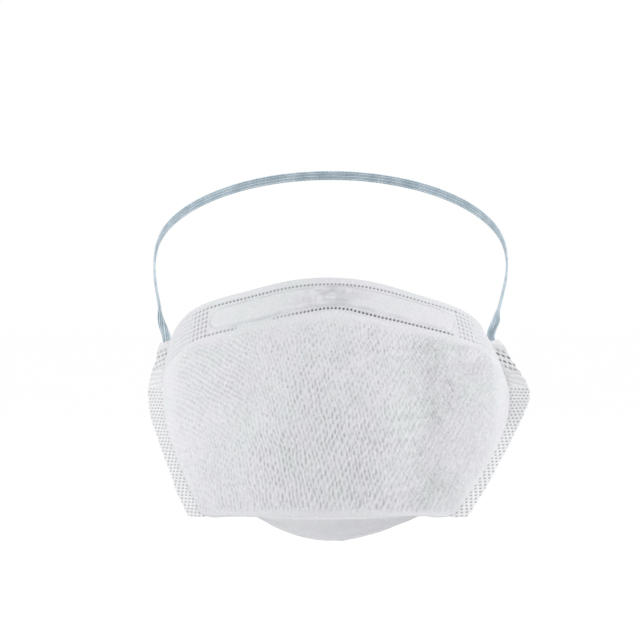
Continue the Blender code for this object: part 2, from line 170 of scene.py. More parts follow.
def rim(half, tilt):
    half = [np.array(point) * MM for point in half]
    left = [(-x, y, z + tilt * x) for x, y, z in reversed(half[1:])]
    right = [(x, y, z - tilt * x) for x, y, z in half]
    curve = spline([tuple(CHEEKS["left"]), *left, *right, tuple(CHEEKS["right"])])
    return lambda across: curve((across + 1) / 2)


def bill(across):
    y = BILL_Y + BILL_BOW * across**2
    return np.stack([BILL_HALF_WIDTH * across + BILL_SHIFT, y, np.full_like(across, BILL_Z)], -1)


SEAMS = {side: seam(side) for side in SIGN}
RIMS = {"upper": rim(NOSE_RIM, NOSE_TILT), "lower": rim(CHIN_RIM, 0.0)}
CORNERS = [SEAMS[side](end) for end in (0.0, 1.0) for side in ("left", "right")]


def patch(half, across, along):
    share = ((across + 1) / 2)[..., None]
    up = along[..., None]
    ends = (1 - up) * bill(across) + up * RIMS[half](across)
    sides = (1 - share) * SEAMS["left"](along) + share * SEAMS["right"](along)
    low = (1 - share) * CORNERS[0] + share * CORNERS[1]
    high = (1 - share) * CORNERS[2] + share * CORNERS[3]
    return ends + sides - (1 - up) * low - up * high


def outward_normal(shape, half, across, along, step):
    wide = shape(half, across + step, along) - shape(half, across - step, along)
    tall = shape(half, across, along + step) - shape(half, across, along - step)
    return OUTWARD[half] * unit(np.cross(wide, tall))


def surface(half, across, along):
    """The inside surface of a panel."""
    inside = np.clip(along, 0.01, 0.99)
    crown = (1 - across**2) * CROWN_SCALE * along * np.maximum(0.0, 1 - along) ** CROWN_FALL
    blown = CROWNS[half] * crown[..., None] * outward_normal(patch, half, across, inside, 0.01)
    return patch(half, across, along) + blown


def bill_lean(across):
    lean = np.zeros((*across.shape, 3))
    for half in OUTWARD:
        lean -= unit(surface(half, across, np.full_like(across, 0.01)) - bill(across))
    return unit(lean)


def weld_width(side, along):
    """Width in millimetres of a side strip."""
    return np.interp(along, *zip(*WELD_WIDTHS[side]))


def weld_turn(side, along):
    """Fold-back in radians of a side strip."""
    along = np.clip(along, 0.0, 1.0)
    turn = np.zeros_like(along)
    for before, after in zip(WELD_TURNS[side], WELD_TURNS[side][1:]):
        here = (along >= before[0]) & (along <= after[0])
        share = smoothstep(before[0], after[0], along)
        turn = np.where(here, before[1] + (after[1] - before[1]) * share, turn)
    return np.radians(turn)


def weld_frame(side, along):
    """The seam's points and tangents, and the strip's outward and upper-face directions."""
    step = 0.01
    sign = SIGN[side]
    near = np.clip(along, 0.0, 1.0)
    tangent = SEAMS[side](np.minimum(near + step, 1.0)) - SEAMS[side](np.maximum(near - step, 0.0))
    tangent = unit(tangent)
    flat = np.zeros_like(tangent)
    flat[..., 0] = sign
    flat = unit(flat - tangent * (flat * tangent).sum(-1, keepdims=True))
    up = sign * np.cross(flat, tangent)
    turn = weld_turn(side, along)[..., None]
    out = np.cos(turn) * flat - np.sin(turn) * up
    face = np.sin(turn) * flat + np.cos(turn) * up
    return SEAMS[side](along), tangent, out, face


def weld_points(side, along, out_mm, up_mm):
    """Points of a side strip, whose end at the bill is cut level."""
    here, tangent, out, face = weld_frame(side, along)
    cut = np.clip(1 - along / WELD_SQUARE_CUT, 0.0, 1.0) ** 2
    level = -out[..., 2] / tangent[..., 2] * cut
    across = (out + tangent * level[..., None]) * out_mm[..., None]
    return here + (across + face * up_mm[..., None]) * MM


def stacked(half, across, along, height_mm):
    """Points of a panel at a height over its inside surface, leaning to the mitre at its edges."""
    here = surface(half, across, along)
    straight = outward_normal(surface, half, across, along, 0.004)
    bill_gap = np.linalg.norm(here - bill(across), axis=-1)
    bill_share = np.maximum(0.0, 1 - bill_gap / MITRE_WIDTH)[..., None]
    lean = (1 - bill_share) * straight + bill_share * bill_lean(across)
    for side, sign in SIGN.items():
        seam_gap = np.linalg.norm(here - SEAMS[side](along), axis=-1)
        seam_share = np.maximum(0.0, 1 - seam_gap / MITRE_WIDTH) * (sign * across > 0)
        seam_share = seam_share[..., None]
        lean = (1 - seam_share) * lean + seam_share * weld_frame(side, along)[2]
    lean = unit(lean)
    rise = (lean * straight).sum(-1, keepdims=True)
    lean = lean + np.maximum(0.0, LEAST_RISE - rise) * straight
    return here + LIFT * straight + height_mm[..., None] * MM * unit(lean), straight


def column_length(half, across):
    """The length of a panel's column in millimetres, from the bill to the rim."""
    steps = np.linspace(0, 1, 25)
    points = surface(half, across[:, None] + 0 * steps, steps + 0 * across[:, None])
    return np.linalg.norm(np.diff(points, axis=1), axis=-1).sum(1) / MM


def edge_across(half, side, along):
    short = 0.1
    inside = surface(half, np.full_like(along, 1 - short), along)
    width = np.linalg.norm(surface(half, np.ones_like(along), along) - inside, axis=-1) / short
    return SIGN[side] * (1 - EDGE_CLEARANCE / width)


def across_of(half, column, along):
    left = edge_across(half, "left", along)
    right = edge_across(half, "right", along)
    return left + (right - left) * (column + 1) / 2


# ---- noise and pressed patterns


def noise(x, y, seed):
    """Smooth noise from -1 to 1, with features about one unit apart."""
    count = 97
    table = np.random.default_rng(seed).uniform(-1, 1, (count, count))
    column = np.floor(x).astype(int)
    row = np.floor(y).astype(int)
    u = smoothstep(0, 1, x - column)
    v = smoothstep(0, 1, y - row)
    left = column % count
    right = (column + 1) % count
    low = (1 - u) * table[left, row % count] + u * table[right, row % count]
    row = (row + 1) % count
    high = (1 - u) * table[left, row] + u * table[right, row]
    return (1 - v) * low + v * high


def window(value, low, high, soft):
    """1 between low and high and 0 outside them, with soft edges."""
    rise = smoothstep(low - soft, low + soft, value)
    return rise * fade(high - soft, high + soft, value)


def nearest(value, pitch):
    """The distance to the nearest multiple of the pitch."""
    return value - pitch * np.round(value / pitch)


def ellipse(along, down, half_long, half_high):
    """How far a place is from the middle of a dot: 1 at the dot's edge."""
    return np.sqrt((along / half_long) ** 2 + (down / half_high) ** 2)


def dot_radius(s, d, row, pitch, half_long, half_high, slant=0.0):
    """How far a place is from the nearest dot of a row."""
    down = d - row
    return ellipse(nearest(s - slant * down, pitch), down, half_long, half_high)


# Hem patterns, placed by s, the arc length from the middle, and d, the distance from the rim.
DOT_PITCH = 1.62
DOT_SPREAD = 90.0
ROW_STEP = 0.4
TOP_LINE = 12 * ROW_STEP
LOW_LINE = 52 * ROW_STEP
CHIN_LINE = 7.3
GRID_STEP = 6.5 * ROW_STEP
GRID_IN = 59.5
GRID_OUT = 71.0
WIRE_TOP = 7.4
WIRE_LOW = 18.6
WIRE_END = 57.5
# Where the lower line really runs, as pairs of s and d: it climbs over the nose.
LOW_LINE_COURSE = [(-61, 22.3), (-45, 22.2), (-30, 21.4), (-18, 20.6), (-10, 20.0), (-3, 18.9)]
LOW_LINE_COURSE += [(3, 18.9), (8, 19.6), (14, 21.1), (22, 22.3), (52, 22.7), (60, 23.4)]


def dot_place(s):
    """Arc length as the dots count it: they lie further apart towards the cheeks."""
    return DOT_SPREAD * np.arctan(s / DOT_SPREAD)


def hem_place(s, d):
    """The distance from the rim, stretched so that the lower line comes out straight."""
    course = np.interp(s, *zip(*LOW_LINE_COURSE))
    stretched = TOP_LINE + (d - TOP_LINE) * (LOW_LINE - TOP_LINE) / (course - TOP_LINE)
    beyond = LOW_LINE + d - course
    return np.where(d < TOP_LINE, d, np.where(d < course, stretched, beyond))


def nose_hem_relief(s, d):
    """Relief in millimetres, and the share of pressed film and painted shade, over the nose hem and
    the flap behind it.
    """
    size = np.abs(s)
    place = dot_place(s)
    top = dot_radius(place, d, TOP_LINE, DOT_PITCH, 0.56, 0.56)
    top_on = fade(GRID_IN + 2, GRID_IN + 4, size)
    top_dots = fade(0.6, 1.15, top) * top_on
    relief = 0.12 * top_on * window(top, 1.3, 2.0, 0.3) - 0.30 * top_dots
    press_and_shade = (0.82 + 0.18 * noise(s / 9, 0 * s, 8)) * top_dots

    low = dot_radius(place, d, LOW_LINE, DOT_PITCH, 0.56, 0.72)
    low_on = window(s, -26, 56.5, 2) * (0.45 + 0.55 * smoothstep(-24, -4, s))
    low_on += 0.6 * window(s, -62, -43, 2)
    low_on = np.clip(low_on, 0.08 * window(s, -57, 53, 2), 1)
    low_dots = fade(0.7, 1.15, low) * low_on
    relief += 0.22 * low_on * window(low, 1.35, 2.1, 0.35) - 0.40 * low_dots
    press_and_shade = np.maximum(press_and_shade, low_dots)

    grid = window(size, GRID_IN, GRID_OUT, 1.0) * window(d, 2.8, 21.6, 0.4)
    grid = grid * np.where(s > 0, 0.7, 1.0)
    row = TOP_LINE + GRID_STEP * np.round((d - TOP_LINE) / GRID_STEP)
    dash = dot_radius(place, d, row, DOT_PITCH, 0.42, 0.98, slant=0.25 * np.sign(s))
    dashes = fade(0.45, 1.1, dash) * grid
    relief += 0.18 * grid * window(dash, 1.3, 1.9, 0.3) - 0.36 * dashes
    press_and_shade = np.maximum(press_and_shade, 0.75 * dashes)

    # The raised plateau over the wire, with round ends.
    middle = (WIRE_TOP + WIRE_LOW) / 2
    half = (WIRE_LOW - WIRE_TOP) / 2
    past = np.maximum(size - (WIRE_END - half), 0)
    off = np.sqrt(past**2 + (d - middle) ** 2) - half + 0.35 * noise(s / 5, d / 5, 10)
    uneven = 0.16 * noise(s / 6, d / 3, 6) + 0.11 * noise(s / 2.2, d / 1.8, 7)
    relief += (0.72 + uneven) * fade(-0.8, 0.4, off)
    foot = window(off, 0.0, 1.1, 0.3)
    relief -= 0.18 * foot
    # Painted shade darkens the groove round the plateau's foot.
    press_and_shade = np.maximum(press_and_shade, foot * (0.10 + 0.14 * noise(s / 5, d / 5, 9)))

    # The middle of the strip has been pinched, which leaves it dull and finely creased.
    pinch = np.exp(-((s / 14) ** 2) - ((d - 12.0) / 7) ** 2)
    creases = np.maximum(noise(s / 1.1, d / 5, 33), noise(s / 5, d / 1.1, 34))
    relief += 0.30 * pinch * creases
    press_and_shade = np.maximum(press_and_shade, pinch * (0.08 + 0.30 * creases + 0.14 * noise(s / 3, d / 3, 35)))

    # Soft ridges from the dashes towards the cheek corner.
    ridge_on = smoothstep(GRID_OUT - 2, GRID_OUT + 3, size) * window(d, 1.5, 23, 1.0)
    ridge = np.sin(2 * pi * (d + 0.10 * (size - GRID_OUT)) / 2.6 + 0.8 * noise(s / 7, d / 4, 5))
    relief += 0.45 * ridge_on * ridge
    # Painted shade darkens the hollows between the ridges.
    press_and_shade = np.maximum(press_and_shade, 0.15 * ridge_on * smoothstep(0.1, 1.0, -ridge))
    return relief, press_and_shade


def crepe(s, d):
    """The cover's creping: two crossing sets of fine ridges, pulled into diagonals at the sides."""
    s = s + 0.7 * noise(s / 7, d / 7, 11)
    d = d + 0.8 * noise(s / 7 + 9, d / 7, 12)
    steep = 2 * pi * (d / 6.9 - s / 1.62)
    cross = 2 * pi * (d / 4.6 + s / 2.55)
    middle = np.cos(steep) + 0.7 * np.cos(cross) + 0.35 * np.cos(2 * cross)
    left = 1.5 * np.cos(2 * pi * (d / 2.8 - s / 3.7)) + 0.6 * np.cos(steep)
    right = 1.9 * np.cos(2 * pi * (d / 3.1 - s / 1.75)) + 0.6 * np.cos(cross)
    left_share = smoothstep(18, 44, -s) * fade(60, 90, d)
    right_share = smoothstep(18, 44, s)
    lattice = middle + (left - middle) * left_share + (right - middle) * right_share
    centre = np.exp(-((s / 34) ** 2)) * smoothstep(24, 60, d)
    strength = 0.66 + 0.25 * noise(s / 9, d / 9, 13) + 0.34 * centre
    strength = strength + 0.50 * right_share + 0.22 * left_share
    grain = noise(s / 0.7, d / 0.9, 14)
    # The hollows are darkened, partly as thinner cloth and partly as painted shade.
    hollow = smoothstep(0.2, 1.6, -lattice - 1.1 * grain) * strength
    hollow = hollow * (1 - 0.7 * right_share - 0.3 * left_share)
    return 0.14 * strength * lattice + 0.26 * grain, 0.22 * hollow


# Soft folds, which move all the layers together.
# Each is s, d, direction in degrees, length, width and height.
FOLDS = {
    "upper": [
        (11, 30, 62, 11, 4.2, 1.8), (0, 34, 98, 12, 5.0, -0.9),
        (-10, 36, 60, 16, 6, 0.7), (27, 31, 15, 12, 4, 0.7),
        (-32, 30, -15, 14, 5, 0.6), (68, 31, 14, 12, 3.2, 1.5),
        (62, 37, 20, 13, 4.0, -1.2), (52, 48, -35, 16, 5, 0.9),
        (36, 44, -40, 12, 4, -0.6), (-66, 33, -20, 12, 4, 0.7),
        (-50, 50, 45, 18, 6, 0.9), (-32, 62, 55, 22, 7, -1.0),
        (-16, 66, 62, 22, 6, 0.8), (22, 70, 120, 20, 8, 0.9),
        (38, 62, 115, 16, 6, -0.8), (0, 92, 5, 22, 6, 0.4),
    ],
    "lower": [
        (4, 16, 100, 16, 4, 1.0), (-8, 18, 80, 14, 5, -0.7),
        (30, 30, 60, 16, 6, -0.7), (-32, 34, 120, 16, 6, 0.7),
        (55, 40, 45, 18, 6, 0.5), (-58, 40, 135, 18, 6, -0.5),
    ],
}


def folds(half, s, d, length, column):
    """Soft folds and dents in millimetres. They die out at the hem, the bill and the side seams."""
    total = 0.35 * noise(s / 16, d / 16, 21) + 0.15 * noise(s / 7, d / 9, 22)
    for s0, d0, direction, long, wide, high in FOLDS[half]:
        c = cos(radians(direction))
        n = sin(radians(direction))
        along = (s - s0) * c - (d - d0) * n
        across = (s - s0) * n + (d - d0) * c
        total = total + high * np.exp(-((along / long) ** 2) - (across / wide) ** 2)
    hem = HEM_HEIGHTS[half]
    free = smoothstep(hem + 0.5, hem + 6, d) * smoothstep(3, 14, length - d)
    return total * free * fade(0.86, 0.975, np.abs(column))


# ---- meshes


SHARP_ANGLE = radians(60)


def place_object(name, data):
    obj = bpy.data.objects.new(name, data)
    bpy.context.scene.collection.objects.link(obj)
    return obj


def finish_mesh(name, points, faces, material, uv, press_and_shade):
    """The object made of these points, with its map in centimetres and its share of pressed film and
    painted shade.
    """
    mesh = bpy.data.meshes.new(name)
    mesh.from_pydata(points.tolist(), [], faces)
    tidy = bmesh.new()
    tidy.from_mesh(mesh)
    bmesh.ops.recalc_face_normals(tidy, faces=tidy.faces)
    tidy.to_mesh(mesh)
    tidy.free()
    layer = mesh.uv_layers.new(name="cloth")
    corner = np.zeros(len(mesh.loops), np.int32)
    mesh.loops.foreach_get("vertex_index", corner)
    layer.data.foreach_set("uv", (uv / 10)[corner].astype(np.float32).ravel())
    attribute = mesh.attributes.new("press_and_shade", "FLOAT", "POINT")
    attribute.data.foreach_set("value", press_and_shade.astype(np.float32).ravel())
    mesh.materials.append(material)
    mesh.shade_smooth()
    mesh.set_sharp_from_angle(angle=SHARP_ANGLE)
    return place_object(name, mesh)


def grid_quads(rows, columns):
    index = np.arange(rows * columns).reshape(rows, columns)
    quads = np.stack([index[:-1, :-1], index[:-1, 1:], index[1:, 1:], index[1:, :-1]], -1)
    return quads.reshape(-1, 4)


def edge_faces(rows, columns):
    """Quads that join the edges of two grids of points, one numbered after the other."""
    edge = [(0, c) for c in range(columns)]
    edge += [(r, columns - 1) for r in range(1, rows)]
    edge += [(rows - 1, c) for c in reversed(range(columns - 1))]
    edge += [(r, 0) for r in reversed(range(1, rows - 1))]
    edge = [r * columns + c for r, c in edge]
    back = rows * columns
    pairs = zip(edge, edge[1:] + edge[:1])
    return [[after, here, back + here, back + after] for here, after in pairs]


def stacked_rows(first, second, width):
    return np.concatenate([first.reshape(-1, width), second.reshape(-1, width)])


def sheet_piece(name, outer, inner, uv, press_and_shade, material, coarse):
    """A closed thin sheet. Its hidden side has fewer faces, and meets the fine side at the edges."""
    rows, columns = outer.shape[:2]
    back = rows * columns
    hidden = []
    row_cuts = [*range(0, rows - 1, coarse), rows - 1]
    column_cuts = [*range(0, columns - 1, coarse), columns - 1]

    def run(first, last, fine):
        step = 1 if last > first else -1
        return list(range(first, last, step)) if fine else [first]

    for r0, r1 in zip(row_cuts, row_cuts[1:]):
        for c0, c1 in zip(column_cuts, column_cuts[1:]):
            ring = [(r0, c) for c in run(c0, c1, r0 == 0)]
            ring += [(r, c1) for r in run(r0, r1, c1 == columns - 1)]
            ring += [(r1, c) for c in run(c1, c0, r1 == rows - 1)]
            ring += [(r, c0) for r in run(r1, r0, c0 == 0)]
            hidden.append([back + r * columns + c for r, c in reversed(ring)])
    hidden += edge_faces(rows, columns)

    # The hidden side keeps only the points that its larger faces use.
    keep = np.union1d(np.arange(back), np.concatenate(hidden))
    new = np.full(2 * back, -1)
    new[keep] = np.arange(len(keep))
    faces = grid_quads(rows, columns).tolist() + [new[face].tolist() for face in hidden]
    points = stacked_rows(outer, inner, 3)[keep]
    uv = stacked_rows(uv, uv, 2)[keep]
    press_and_shade = stacked_rows(press_and_shade, 0 * press_and_shade, 1)[keep]
    return finish_mesh(name, points, faces, material, uv, press_and_shade)


def two_sided(name, top, low, uv, press_and_shade, material):
    """A closed slab with the same detail on both faces."""
    rows, columns = top.shape[:2]
    quads = grid_quads(rows, columns)
    faces = quads.tolist() + (rows * columns + quads[:, ::-1]).tolist() + edge_faces(rows, columns)
    points = stacked_rows(top, low, 3)
    uv = stacked_rows(uv, uv, 2)
    return finish_mesh(name, points, faces, material, uv, stacked_rows(press_and_shade, press_and_shade, 1))


def ring_piece(name, rings, material, uv, press_and_shade):
    """A closed bar through rings of points, of shape stations, around, 3."""
    stations, around = rings.shape[:2]
    index = np.arange(stations * around).reshape(stations, around)
    turned = np.roll(index, -1, axis=1)
    quads = np.stack([index[:-1], turned[:-1], turned[1:], index[1:]], -1).reshape(-1, 4)
    faces = quads.tolist() + [index[0][::-1].tolist(), index[-1].tolist()]
    points = rings.reshape(-1, 3)
    return finish_mesh(name, points, faces, material, uv.reshape(-1, 2), press_and_shade)


# ---- materials


class Nodes:
    """A few short ways to build a node tree."""

    def __init__(self, name):
        self.material = bpy.data.materials.new(name)
        self.material.use_nodes = True
        self.tree = self.material.node_tree
        self.shader = self.tree.nodes["Principled BSDF"]

    def add(self, kind, settings=None, **inputs):
        node = self.tree.nodes.new(kind)
        for key, value in (settings or {}).items():
            setattr(node, key, value)
        for key, value in inputs.items():
            self.put(node.inputs[key.replace("_", " ")], value)
        return node

    def put(self, socket, value):
        if isinstance(value, bpy.types.NodeSocket):
            self.tree.links.new(value, socket)
        else:
            socket.default_value = value

    def cloth(self):
        """The map in centimetres, and the share of pressed film and painted shade."""
        uv = self.add("ShaderNodeUVMap", {"uv_map": "cloth"}).outputs[0]
        press_and_shade = self.add("ShaderNodeAttribute", {"attribute_name": "press_and_shade"}).outputs["Fac"]
        return uv, press_and_shade

    def times(self, first, second, clamp=False):
        return self.math("MULTIPLY", first, second, clamp)

    def shade(self, socket, value):
        """Sets or links a socket of the Principled shader."""
        self.put(self.shader.inputs[socket], value)

    def math(self, operation, first, second=0.0, clamp=False):
        node = self.add("ShaderNodeMath", {"operation": operation, "use_clamp": clamp})
        self.put(node.inputs[0], first)
        self.put(node.inputs[1], second)
        return node.outputs[0]

    def mix(self, factor, first, second):
        node = self.add("ShaderNodeMix", {"data_type": "RGBA"})
        self.put(node.inputs[0], factor)
        self.put(node.inputs[6], first)
        self.put(node.inputs[7], second)
        return node.outputs[2]

    def mapped(self, vector, scale, turn=0.0, shift=(0, 0, 0)):
        place = dict(Scale=scale, Rotation=(0, 0, radians(turn)), Location=shift)
        return self.add("ShaderNodeMapping", Vector=vector, **place).outputs[0]

    def noise(self, vector, scale, detail=2.0, rough=0.5, distortion=0.0):
        look = dict(Scale=scale, Detail=detail, Roughness=rough, Distortion=distortion)
        return self.add("ShaderNodeTexNoise", Vector=vector, **look).outputs[0]

    def ramp(self, value, low, high):
        node = self.add("ShaderNodeMapRange", {"interpolation_type": "SMOOTHSTEP"})
        for socket, setting in zip(node.inputs, (value, low, high)):
            self.put(socket, setting)
        return node.outputs[0]

    def bump(self, height, distance):
        return self.add("ShaderNodeBump", Height=height, Distance=distance, Strength=1.0).outputs[0]


def rgb(red, green, blue):
    return (red, green, blue, 1.0)


def fabric(name, light, cool, pressed, fibre=0.06):
    """Bonded non-woven cloth: tangled fibres with painted highlights along them, faint blotches, small
    dark specks of painted shade, and film where it was pressed; the pressed colour also paints the
    shade that the same share carries.
    """
    n = Nodes(name)
    uv, press_and_shade = n.cloth()
    tint = n.ramp(n.noise(uv, 0.45, 3.0, 0.55, 0.6), 0.36, 0.66)
    fibre_a = n.noise(n.mapped(uv, (60, 9, 1), 28), 1.0, 3.0, 0.6, 1.2)
    fibre_b = n.noise(n.mapped(uv, (60, 9, 1), -37, (3, 5, 0)), 1.0, 3.0, 0.6, 1.2)
    tangle = n.math("MAXIMUM", fibre_a, fibre_b)
    specks = n.noise(uv, 14.0, 2.0, 0.6)
    colour = n.mix(tint, rgb(*light), rgb(*cool))
    # Painted shade: small dark specks.
    shade = n.times(n.ramp(specks, 0.38, 0.66), 0.24)
    colour = n.mix(shade, colour, rgb(*[0.80 * c for c in light]))
    # Painted highlights along the tangled fibres.
    glint = n.times(n.ramp(tangle, 0.57, 0.72), 0.50)
    colour = n.mix(glint, colour, rgb(0.95, 0.95, 0.97))
    # The pressed colour marks pressed film, and also paints the shade that the same share carries.
    colour = n.mix(n.times(press_and_shade, 0.92, True), colour, rgb(*pressed))
    n.shade("Base Color", colour)
    rough = n.math("SUBTRACT", 0.85, n.times(press_and_shade, 0.35))
    n.shade("Roughness", rough)
    height = n.math("ADD", tangle, n.times(specks, 0.8))
    n.shade("Normal", n.bump(height, fibre * MM))
    n.shade("Sheen Weight", 0.15)
    n.shade("Sheen Roughness", 0.6)
    n.shade("Specular IOR Level", 0.35)
    return n.material


def elastic(name):
    """Knitted elastic: light crowns, blue-grey grooves deepened almost to black with painted shade,
    and a fine cross stitch.
    """
    n = Nodes(name)
    uv, groove = n.cloth()
    parts = n.add("ShaderNodeSeparateXYZ", Vector=uv)
    stitch = n.math("SINE", n.times(parts.outputs[0], 2 * pi * 10 / 0.8))
    yarn = n.noise(n.mapped(uv, (8, 50, 1)), 1.0, 3.0, 0.6, 0.5)
    wear = n.noise(uv, 1.2, 2.0, 0.5)
    colour = n.mix(n.ramp(wear, 0.3, 0.7), rgb(0.30, 0.39, 0.45), rgb(0.45, 0.54, 0.60))
    # Painted shade: the rib grooves are darkened almost to black, past their blue-grey yarn.
    colour = n.mix(n.times(groove, 0.85, True), colour, rgb(0.03, 0.045, 0.06))
    colour = n.mix(n.times(n.ramp(yarn, 0.5, 0.75), 0.25), colour, rgb(0.80, 0.85, 0.89))
    n.shade("Base Color", colour)
    n.shade("Roughness", 0.75)
    height = n.math("ADD", n.times(stitch, 0.3), yarn)
    n.shade("Normal", n.bump(height, 0.00012))
    n.shade("Sheen Weight", 0.2)
    return n.material


def wire_metal(name):
    """A thin drawn strip with fine lines along its length and a little unevenness."""
    n = Nodes(name)
    place = n.add("ShaderNodeTexCoord").outputs["Object"]
    lines = n.noise(n.mapped(place, (40, 4000, 4000)), 1.0, 3.0, 0.6)
    dull = n.noise(place, 180.0, 2.0, 0.5)
    colour = n.mix(n.ramp(dull, 0.35, 0.7), rgb(0.62, 0.63, 0.65), rgb(0.74, 0.75, 0.77))
    n.shade("Base Color", colour)
    n.shade("Metallic", 1.0)
    n.shade("Roughness", n.math("ADD", 0.28, n.times(dull, 0.2)))
    n.shade("Normal", n.bump(lines, 0.00002))
    return n.material


COVER = fabric("cover_nonwoven", (0.541, 0.536, 0.568), (0.521, 0.541, 0.549), (0.07, 0.075, 0.09))
FILTER = fabric("filter_web", (0.86, 0.86, 0.88), (0.84, 0.85, 0.86), (0.6, 0.6, 0.6), 0.12)
LINING = fabric("lining_nonwoven", (0.66, 0.66, 0.68), (0.64, 0.65, 0.66), (0.40, 0.40, 0.42))
WELD = fabric(
    "welded_laminate", (0.605, 0.605, 0.625), (0.585, 0.595, 0.60), (0.04, 0.04, 0.05), 0.04
)
ELASTIC = elastic("elastic_band")
WIRE = wire_metal("wire_strip")

# ---- panels

BILL_CLEARANCE = 0.1
# The inner layers end this far below the hem.
FOOT_GAP = 0.3


def columns_for(half, pitch, line):
    """Columns that the dots of a line, at a distance in mm from the rim, all meet alike."""
    fine = np.linspace(-1, 1, 1601)
    along = 1 - line / column_length(half, fine)
    points = surface(half, across_of(half, fine, along), along)
    arc = travelled(points) / MM
    arc = dot_place(arc - np.interp(0, points[:, 0], arc))
    steps = np.arange(np.ceil(arc[0] / pitch + 0.4), np.floor(arc[-1] / pitch - 0.4) + 1) * pitch
    return np.interp(np.concatenate([[arc[0]], steps, [arc[-1]]]), arc, fine)


def edge_ease(column, length, d):
    """Relief dies out close to the side seams and the bill."""
    return fade(0.955, 0.995, np.abs(column)) * smoothstep(0.3, 2.5, length - d)


class Panel:
    """A grid of places on one panel, from the bill up to the rim: rows by distance from the rim."""

    def __init__(self, half, columns, hem_rows, panel_steps):
        self.half = half
        self.column = columns
        self.length = column_length(half, columns)
        shares = np.linspace(0, 1, panel_steps + 1)[:-1]
        low = (self.length - BILL_CLEARANCE)[None, :]
        free = low + (hem_rows[0] - low) * shares[:, None]
        self.d = np.concatenate([free, hem_rows[:, None] + 0 * low])

    def points(self, d, height, relief=None):
        """Points, arc length s from the middle and folds, for rows of distances from the rim."""
        length = self.length[None, :] + 0 * d
        along = 1 - d / length
        column = self.column[None, :] + 0 * d
        across = across_of(self.half, column, along)
        points, straight = stacked(self.half, across, along, height + 0 * d)
        arc = np.linalg.norm(np.diff(points, axis=1), axis=-1) / MM
        s = np.concatenate([np.zeros((len(d), 1)), np.cumsum(arc, axis=1)], axis=1)
        middle = np.array([np.interp(0.0, row[:, 0], line) for row, line in zip(points, s)])
        s = s - middle[:, None]
        fold = folds(self.half, s, d, length, column)
        raised, press_and_shade = 0 * d, 0 * d
        if relief:
            raised, press_and_shade = relief(s, d, edge_ease(column, length, d))
        return points + straight * ((raised + fold) * MM)[..., None], s, press_and_shade


def folded_sheet(name, panel, relief, fold_steps, flap_rows):
    """A cover that runs up to the rim, turns over it and comes down behind as the hem's flap."""
    hem = HEM_HEIGHTS[panel.half]
    radius = HEM_DEPTH / 2
    low, high = LAYERS["cover"]
    front = panel.d[panel.d[:, 0] > radius + 0.1]
    front_height = high + (HEM_DEPTH - high) * smoothstep(hem + 1, hem - 1, front)
    turn = np.linspace(0, pi, fold_steps + 1)[:, None]
    flap = np.linspace(radius, hem - 0.1, flap_rows + 1)[1:, None]
    wide = np.ones((1, len(panel.column)))

    def face(depth):
        """Distances from the rim, and heights, of a face that lies this deep in the cover."""
        bend = radius - depth
        d = [front, (radius - bend * np.sin(turn)) * wide, flap * wide]
        height = [front_height - depth, (radius + bend * np.cos(turn)) * wide, 0 * flap * wide + depth]
        return np.concatenate(d), np.concatenate(height)

    outer_d, outer_height = face(0.0)
    inner_d, inner_height = face(high - low)
    facing = np.concatenate([np.ones((len(front), 1)), np.cos(turn), -np.ones((len(flap), 1))])

    def signed(s, d, ease):
        raised, press_and_shade = relief(s, d, ease)
        flat = np.where(facing > 0, raised, -0.7 * raised)
        return flat * np.abs(facing), press_and_shade * np.abs(facing)

    outer, s, press_and_shade = panel.points(outer_d, outer_height, signed)
    inner, _, _ = panel.points(inner_d, inner_height)
    uv = np.stack([s, np.where(facing > 0, outer_d, -outer_d)], -1)
    return sheet_piece(name, outer, inner, uv, press_and_shade, COVER, coarse=4)


def plain_sheet(name, panel, layer, relief, material, coarse):
    """A layer that ends at the foot of the hem. The relief is on its inside face."""
    low, high = LAYERS[layer]
    outer, s, press_and_shade = panel.points(panel.d, low, relief)
    inner, _, _ = panel.points(panel.d, high)
    uv = np.stack([s, panel.d], -1)
    return sheet_piece(name, outer, inner, uv, press_and_shade, material, coarse)


# Each takes arc length, distance from the rim and how much relief the edges leave, and gives the
# relief in millimetres and the share of pressed film and painted shade.
def upper_cover_relief(s, d, ease):
    place = hem_place(s, d)
    hem, press_and_shade = nose_hem_relief(s, place)
    on_hem = fade(LOW_LINE + 0.9, LOW_LINE + 2.1, place)
    # A faint line runs below the hem, where the layers are free of its weld.
    wander = 0.8 * noise(s / 11, s * 0 + 3, 31)
    line = LOW_LINE + 4.6 + wander - 0.012 * np.abs(s)
    below = 0.34 * np.exp(-(((place - line) / 0.6) ** 2))
    below -= 0.28 * np.exp(-(((place - line - 1.25) / 0.65) ** 2))
    below = below * (0.6 + 0.6 * noise(s / 13, 0 * s, 32)) * fade(74, 84, np.abs(s))
    step = -0.20 * fade(LOW_LINE + 2.2, LOW_LINE + 8, place)
    cloth, hollow = crepe(s, d)
    share = 0.15 + 0.85 * smoothstep(LOW_LINE + 2, LOW_LINE + 9, place)
    share = share * (1 - 0.5 * smoothstep(74, 84, np.abs(s)))
    # Painted shade darkens the trough of the faint line below the hem.
    hollow = np.maximum(hollow, 0.5 * np.maximum(-below, 0))
    total = hem * on_hem + (below + step) * (1 - on_hem) + cloth * share
    return total * ease, np.maximum(press_and_shade * on_hem, hollow * share)


